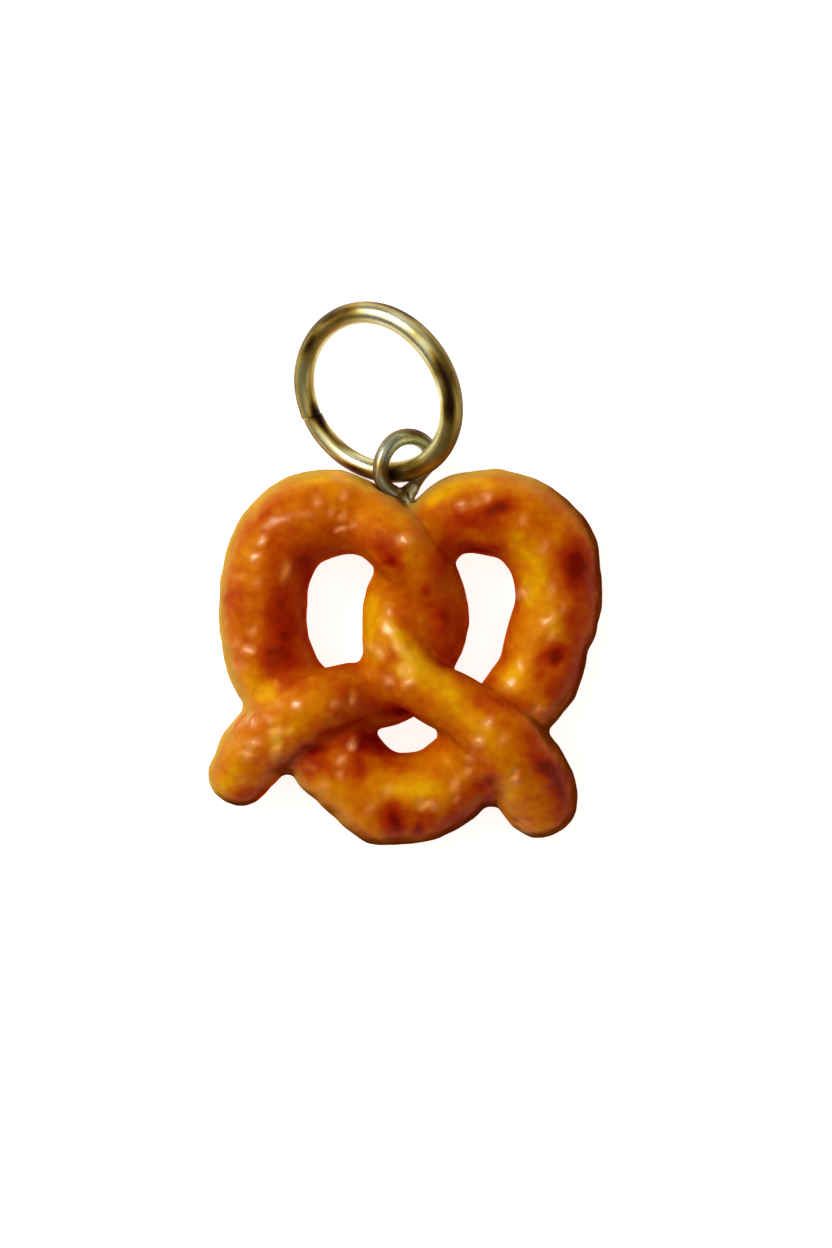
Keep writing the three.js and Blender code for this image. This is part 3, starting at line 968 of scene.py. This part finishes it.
# %% The ring's ends
# The middle of the cut in mm, the way across it and the way from it into the ring.
CUT_PLACE = np.array((-4.715, 7.965, 0.65))
CUT_WAY = np.array((0.38, -0.92, -0.065))
CUT_INWARD = np.array((0.92, 0.38, 0.0))
# In mm: the gap, how much narrower it gets a millimetre further in, and what is left of it.
CUT_GAP = 0.092
CUT_WEDGE = 0.127
HAIRLINE = 0.015
# In mm: how far each end is also moved aside, and how far from the cut the wire still bends.
END_ASIDE = 0.045
END_REACH = 1.5
END_EDGE = 4


def ends_closed(points):
    """Bends the two ends towards each other until only a hairline is left between them."""
    from_cut = points / MM - CUT_PLACE
    near = np.exp(-(np.linalg.norm(from_cut, axis=1) / END_REACH) ** END_EDGE)
    share = (near * np.sign(from_cut @ CUT_WAY))[:, None]
    closing = (CUT_GAP - CUT_WEDGE * (from_cut @ CUT_INWARD) - HAIRLINE) / 2
    return points - share * (closing[:, None] * CUT_WAY + END_ASIDE * CUT_INWARD) * MM


ring_shape = welded_copy("jump_ring")
sprung, _ = points_of(ring_shape)
bent = ends_closed(sprung)
move_points(ring_shape, bent)
print("ring ends bent by, mm:", round(np.abs(bent - sprung).max() / MM, 3))

# %% Ring mesh
# The wire's radius in mm, and the share of it that subdivision takes away.
RING_WIRE = 0.55
SUBDIVISION_LOSS = 0.045
# In degrees: how flat and how square a joined quad is, and how sharp an edge of a cut face is.
FLAT_ANGLE = 40
SQUARE_ANGLE = 70
RIM_ANGLE = 50
CUT_BEVEL = 0.05
BEVEL_SEGMENTS = 2
SUBDIVISIONS = 2


def rounded(shape, name, wire):
    """A smooth piece from a faceted wire: quads, bevelled cut faces, and subdivision."""
    bmesh.ops.join_triangles(
        shape,
        faces=shape.faces,
        angle_face_threshold=math.radians(FLAT_ANGLE),
        angle_shape_threshold=math.radians(SQUARE_ANGLE),
    )
    sharp = [e for e in shape.edges if e.calc_face_angle(0) > math.radians(RIM_ANGLE)]
    bmesh.ops.bevel(
        shape,
        geom=sharp,
        offset=CUT_BEVEL * MM,
        offset_type="OFFSET",
        affect="EDGES",
        segments=BEVEL_SEGMENTS,
        profile=0.5,
        material=-1,
    )
    points, outward = points_of(shape)
    move_points(shape, points + outward * wire * SUBDIVISION_LOSS * MM)
    piece = to_piece(shape, name)
    subdivision = piece.modifiers.new("round", "SUBSURF")
    subdivision.levels = SUBDIVISIONS
    subdivision.render_levels = SUBDIVISIONS
    return piece


ring = rounded(ring_shape, "brass_ring", RING_WIRE)
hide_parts("jump_ring")
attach(ring, "ring")
print("ring faces before subdivision:", len(ring.data.polygons))

# %% [markdown]
# ## The screw eye
# A screw eye is wire bent into a loop with a thread rolled onto its shank. The end of the loop is
# soldered to the shank, so the slit is closed in the same way as the creases of the clay, and
# the lower right of the loop is pinched in under the ring. The thread is a helix, a ridge that
# climbs one pitch for each turn round the shank. A separate coil of wire could stand for it, but
# it would lie on the shank instead of growing out of it. So each point of the shank moves out by a
# rounded ridge that depends on its height and on its angle round the axis.

# %% Eye mesh
EYE_VOXEL = 0.045
EYE_ROUNDS = 8
EYE_REACH = 0.25
EYE_PULLS = [
    # x, y, half length and half width in mm, turn in degrees, and the way in mm
    (1.3, 4.6, 1.1, 0.9, 0, (-0.56, 0.0, -0.58)),
    (-0.5, 6.9, 1.5, 0.8, 20, (-0.07, 0.14, 0.0)),
]

eye_shape = remeshed(welded_copy("eye_pin"), EYE_VOXEL)
relax(eye_shape, eye_shape.verts, EYE_ROUNDS)
eye_shape = closed(eye_shape, EYE_VOXEL, EYE_ROUNDS, EYE_REACH)
wire, eye_outward = points_of(eye_shape)
for *place, way in EYE_PULLS:
    wire = wire + oval(wire, *place)[:, None] * np.array(way) * MM
print("eye points:", len(wire))

# %% The thread
# In mm: the climb of one turn, the height of the ridge, where it ends and over what it fades.
THREAD = {"pitch": 0.42, "height": 0.07, "top": 3.75, "fade": 0.3}
# The ridge is a wave from -1 to 1: its valleys are cut off flat, and the shank lies half way.
VALLEY = -0.4
HALF_WAY = 0.3
MEASURED_BELOW = 1
SHANK_REACH = 0.6

low_end = wire[wire[:, 1] < (THREAD["top"] - MEASURED_BELOW) * MM]
axis_x, _, axis_z = (low_end.max(axis=0) + low_end.min(axis=0)) / 2
sideways, upward = wire[:, 0] - axis_x, wire[:, 2] - axis_z
turns = np.arctan2(sideways, upward) / (2 * math.pi)
ridge = np.cos(2 * math.pi * (wire[:, 1] / (THREAD["pitch"] * MM) - turns))
on_shank = np.hypot(sideways, upward) < SHANK_REACH * MM
fading = smooth_step(wire[:, 1] / MM, THREAD["top"] - THREAD["fade"], THREAD["top"])
profile = np.maximum(ridge, VALLEY) - HALF_WAY
rise = THREAD["height"] * MM * profile * (on_shank * (1 - fading))
move_points(eye_shape, wire + eye_outward * rise[:, None])
eye = to_piece(eye_shape, "screw_eye")
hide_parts("eye_pin")
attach(eye, "charm")
print("shank axis x and z, mm:", round(axis_x / MM, 2), round(axis_z / MM, 2))

# %% [markdown]
# ## Metal
# Both metals are worn plating, bright where it is rubbed and dark where tarnish stays. One even
# colour would look new, and noise alone would tarnish the wrong places, so the patina is brushed
# on in the same way as the browning. The same strokes paint reflections into the colour as well:
# pale highlight bands and dark bands along the ring's wire, and on the screw eye a painted
# highlight on its loop and a painted shadow under the ring. Round the outside of each loop the
# colour is darker still, a painted shade. Tarnish is duller as well as darker, so one mask drives
# colour and roughness together.

# %% Where the tarnish lies
RING_PATINA_AND_REFLECTIONS = [
    # x, y, half length and half width in mm, turn in degrees, patina and painted reflection from 0
    # (bright) to 1 (dark)
    (-5.3, 9.6, 1.7, 0.28, 92, 0.3),
    (-4.7, 9.6, 1.6, 0.25, 88, 0.6),
    (-5.2, 11.9, 0.9, 0.2, 65, 0.45),
    (-4.75, 11.7, 0.75, 0.2, 62, 1.15),
    (-4.2, 12.1, 0.5, 0.2, 50, 0.6),
    (-3.3, 12.98, 1.2, 0.2, 16, 1.15),
    (-3.6, 12.45, 0.9, 0.22, 28, 0.5),
    (-3.6, 13.35, 1.2, 0.13, 22, 0.5),
    (-0.9, 12.85, 1.6, 0.36, -22, -0.25),
    (-0.3, 13.25, 1.5, 0.13, -24, 0.8),
    (0.45, 12.2, 0.45, 0.16, -50, 1.0),
    (1.35, 11.3, 0.5, 0.24, -55, 0.1),
    (0.9, 11.3, 1.7, 0.14, -52, -0.15),
    (1.9, 10.0, 1.2, 0.28, -66, 1.3),
    (2.25, 8.4, 1.2, 0.28, 92, 1.3),
    (1.7, 8.8, 1.2, 0.13, 88, -0.05),
    (2.7, 9.0, 1.8, 0.15, -82, 0.35),
    (2.2, 6.9, 0.9, 0.4, 62, 0.48),
    (1.5, 6.0, 0.9, 0.4, 45, 0.5),
    (1.0, 6.25, 0.8, 0.14, 45, 0.05),
    (0.4, 5.3, 0.6, 0.4, 20, 0.85),
    (-0.6, 5.1, 0.5, 0.4, 0, 1.1),
    (-2.6, 5.8, 1.0, 0.34, -28, -0.25),
    (-2.5, 5.3, 0.9, 0.12, -22, 0.9),
    (-2.6, 6.3, 1.0, 0.13, -28, 0.85),
    (-4.3, 7.0, 1.0, 0.26, -52, 0.12),
    (-3.75, 7.05, 1.1, 0.14, -46, 0.85),
    (-4.4, 7.95, 0.65, 0.26, -65, 1.35),
]
EYE_PATINA_AND_PAINTED_LIGHT = [
    # the same columns
    (-1.15, 6.35, 0.5, 0.14, 70, 0.0),
    (-0.5, 6.95, 0.5, 0.2, 30, 0.35),
    (0.6, 7.05, 0.7, 0.2, -5, 0.75),
    (-0.2, 6.6, 0.5, 0.1, 20, 0.2),
    (-1.2, 5.3, 0.5, 0.3, 90, 0.7),
    (-0.7, 4.7, 0.7, 0.4, -45, 0.85),
    (0.1, 4.2, 0.6, 0.5, -60, 0.8),
    (1.6, 5.2, 1.0, 0.45, 75, 0.95),
    (0.25, 3.75, 0.5, 0.12, 60, 0.1),
]
# Both lists hold painted reflections and shadow as well as tarnish.
print("patches of tarnish:", len(RING_PATINA_AND_REFLECTIONS), "and", len(EYE_PATINA_AND_PAINTED_LIGHT))

# %% Metal colours
# In both ramps the bright end also gives painted highlights, and the dark end painted dark bands
# and shadow as well as tarnish.
BRASS = {
    0.0: srgb(248, 242, 200),
    0.3: srgb(216, 204, 140),
    0.55: srgb(172, 142, 60),
    0.75: srgb(110, 82, 26),
    1.0: srgb(44, 22, 5),
}
PLATED_WIRE = {
    0.0: srgb(240, 238, 210),
    0.4: srgb(160, 162, 128),
    0.7: srgb(134, 104, 50),
    1.0: srgb(64, 32, 8),
}
print("stops from bright to tarnished:", len(BRASS), "and", len(PLATED_WIRE))

# %% Wear on the metals
BRASS_ROUGHNESS = 0.22
WIRE_ROUGHNESS = 0.2
METALLIC = 0.9
RAW_METAL = 0.36
# How much darker the outside of each loop is painted, a painted shade.
OUTER_PAINTED_SHADE = 0.45
OUTER_SIDE = (0.5, 0.95)
PATINA_RAGGED = 0.3
TARNISH = {"size": 1.6, "detail": 3.0, "roughness": 0.6}
PITTING = {"size": 0.3, "detail": 3.0, "roughness": 0.6}
SCRATCHES = {"size": 0.12, "detail": 2.0, "roughness": 0.7}
TARNISH_STAIN = 0.3
PITTING_STAIN = 0.12
STAIN_ROUGHNESS = 0.15
SCRATCH_ROUGHNESS = 0.1
TARNISH_HEIGHT = 3
SCRATCH_HEIGHT = 0.4
METAL_BUMP = {"distance": 0.01, "strength": 0.5}
print("noises in the metals, mm:", [wear["size"] for wear in (TARNISH, PITTING, SCRATCHES)])


# %% Metal materials
def metal_paint(piece, name, patina, stops, roughness):
    """Metal whose colour and dullness both follow the patina and painted reflections brushed onto
    its points.
    """
    points = np.array([vert.co for vert in piece.data.vertices])
    facing = np.array([vert.normal for vert in piece.data.vertices])
    from_middle = (points - points.mean(axis=0))[:, :2]
    from_middle /= np.linalg.norm(from_middle, axis=1)[:, None]
    outer = smooth_step((facing[:, :2] * from_middle).sum(axis=1), *OUTER_SIDE)
    brushed_on = brushed(points, patina, RAW_METAL, PATINA_RAGGED)
    store(piece, patina=brushed_on + outer * OUTER_PAINTED_SHADE)
    paint = Paint(name, Metallic=METALLIC)
    tarnish = paint.noise(**TARNISH)
    pitting = paint.noise(**PITTING)
    scratch = paint.noise(**SCRATCHES)
    stain = paint.attribute("patina") + (tarnish - NOISE_MIDDLE) * TARNISH_STAIN
    stain = stain + (pitting - NOISE_MIDDLE) * PITTING_STAIN
    relief = scratch * SCRATCH_HEIGHT + tarnish * TARNISH_HEIGHT
    piece.data.materials.append(paint.finish(
        Base_Color=ramp(stops, stain),
        Roughness=roughness + stain * STAIN_ROUGHNESS + scratch * SCRATCH_ROUGHNESS,
        Normal=bump(relief, **METAL_BUMP),
    ))


metal_paint(ring, "brass", RING_PATINA_AND_REFLECTIONS, BRASS, BRASS_ROUGHNESS)
metal_paint(eye, "plated_wire", EYE_PATINA_AND_PAINTED_LIGHT, PLATED_WIRE, WIRE_ROUGHNESS)
print("metal points:", len(ring.data.vertices), len(eye.data.vertices))

# %% [markdown]
# ## The table
# A pale matt table top, wide enough that its edge stays out of every view. A white world would be
# simpler, but the metal would mirror it and the charm would float without its own shadow. The
# table glows a little, as a light table does, so that it stays white inside the holes.

# %% Table
TABLE_SIDE = 2000
TABLE_CELLS = 8
TABLE_DROP = 0.02
TABLE_ROUGHNESS = 0.7
TABLE_GLOW = 0.84
TABLE_WHITE = srgb(255, 255, 253)
MOTTLE = {"size": 30, "detail": 3.0}
MOTTLE_COLOURS = (srgb(203, 202, 200), srgb(208, 207, 205))

table = bmesh.new()
bmesh.ops.create_grid(
    table,
    x_segments=TABLE_CELLS,
    y_segments=TABLE_CELLS,
    size=TABLE_SIDE / 2 * MM,
)
bmesh.ops.translate(table, verts=table.verts, vec=(0, 0, -TABLE_DROP * MM))
floor = to_piece(table, "table")
table_paint = Paint("pale_table", Roughness=TABLE_ROUGHNESS, Emission_Strength=TABLE_GLOW)
floor.data.materials.append(table_paint.finish(
    Base_Color=blend(table_paint.noise(**MOTTLE), *MOTTLE_COLOURS),
    Emission_Color=TABLE_WHITE,
))
print("table side, mm:", TABLE_SIDE)
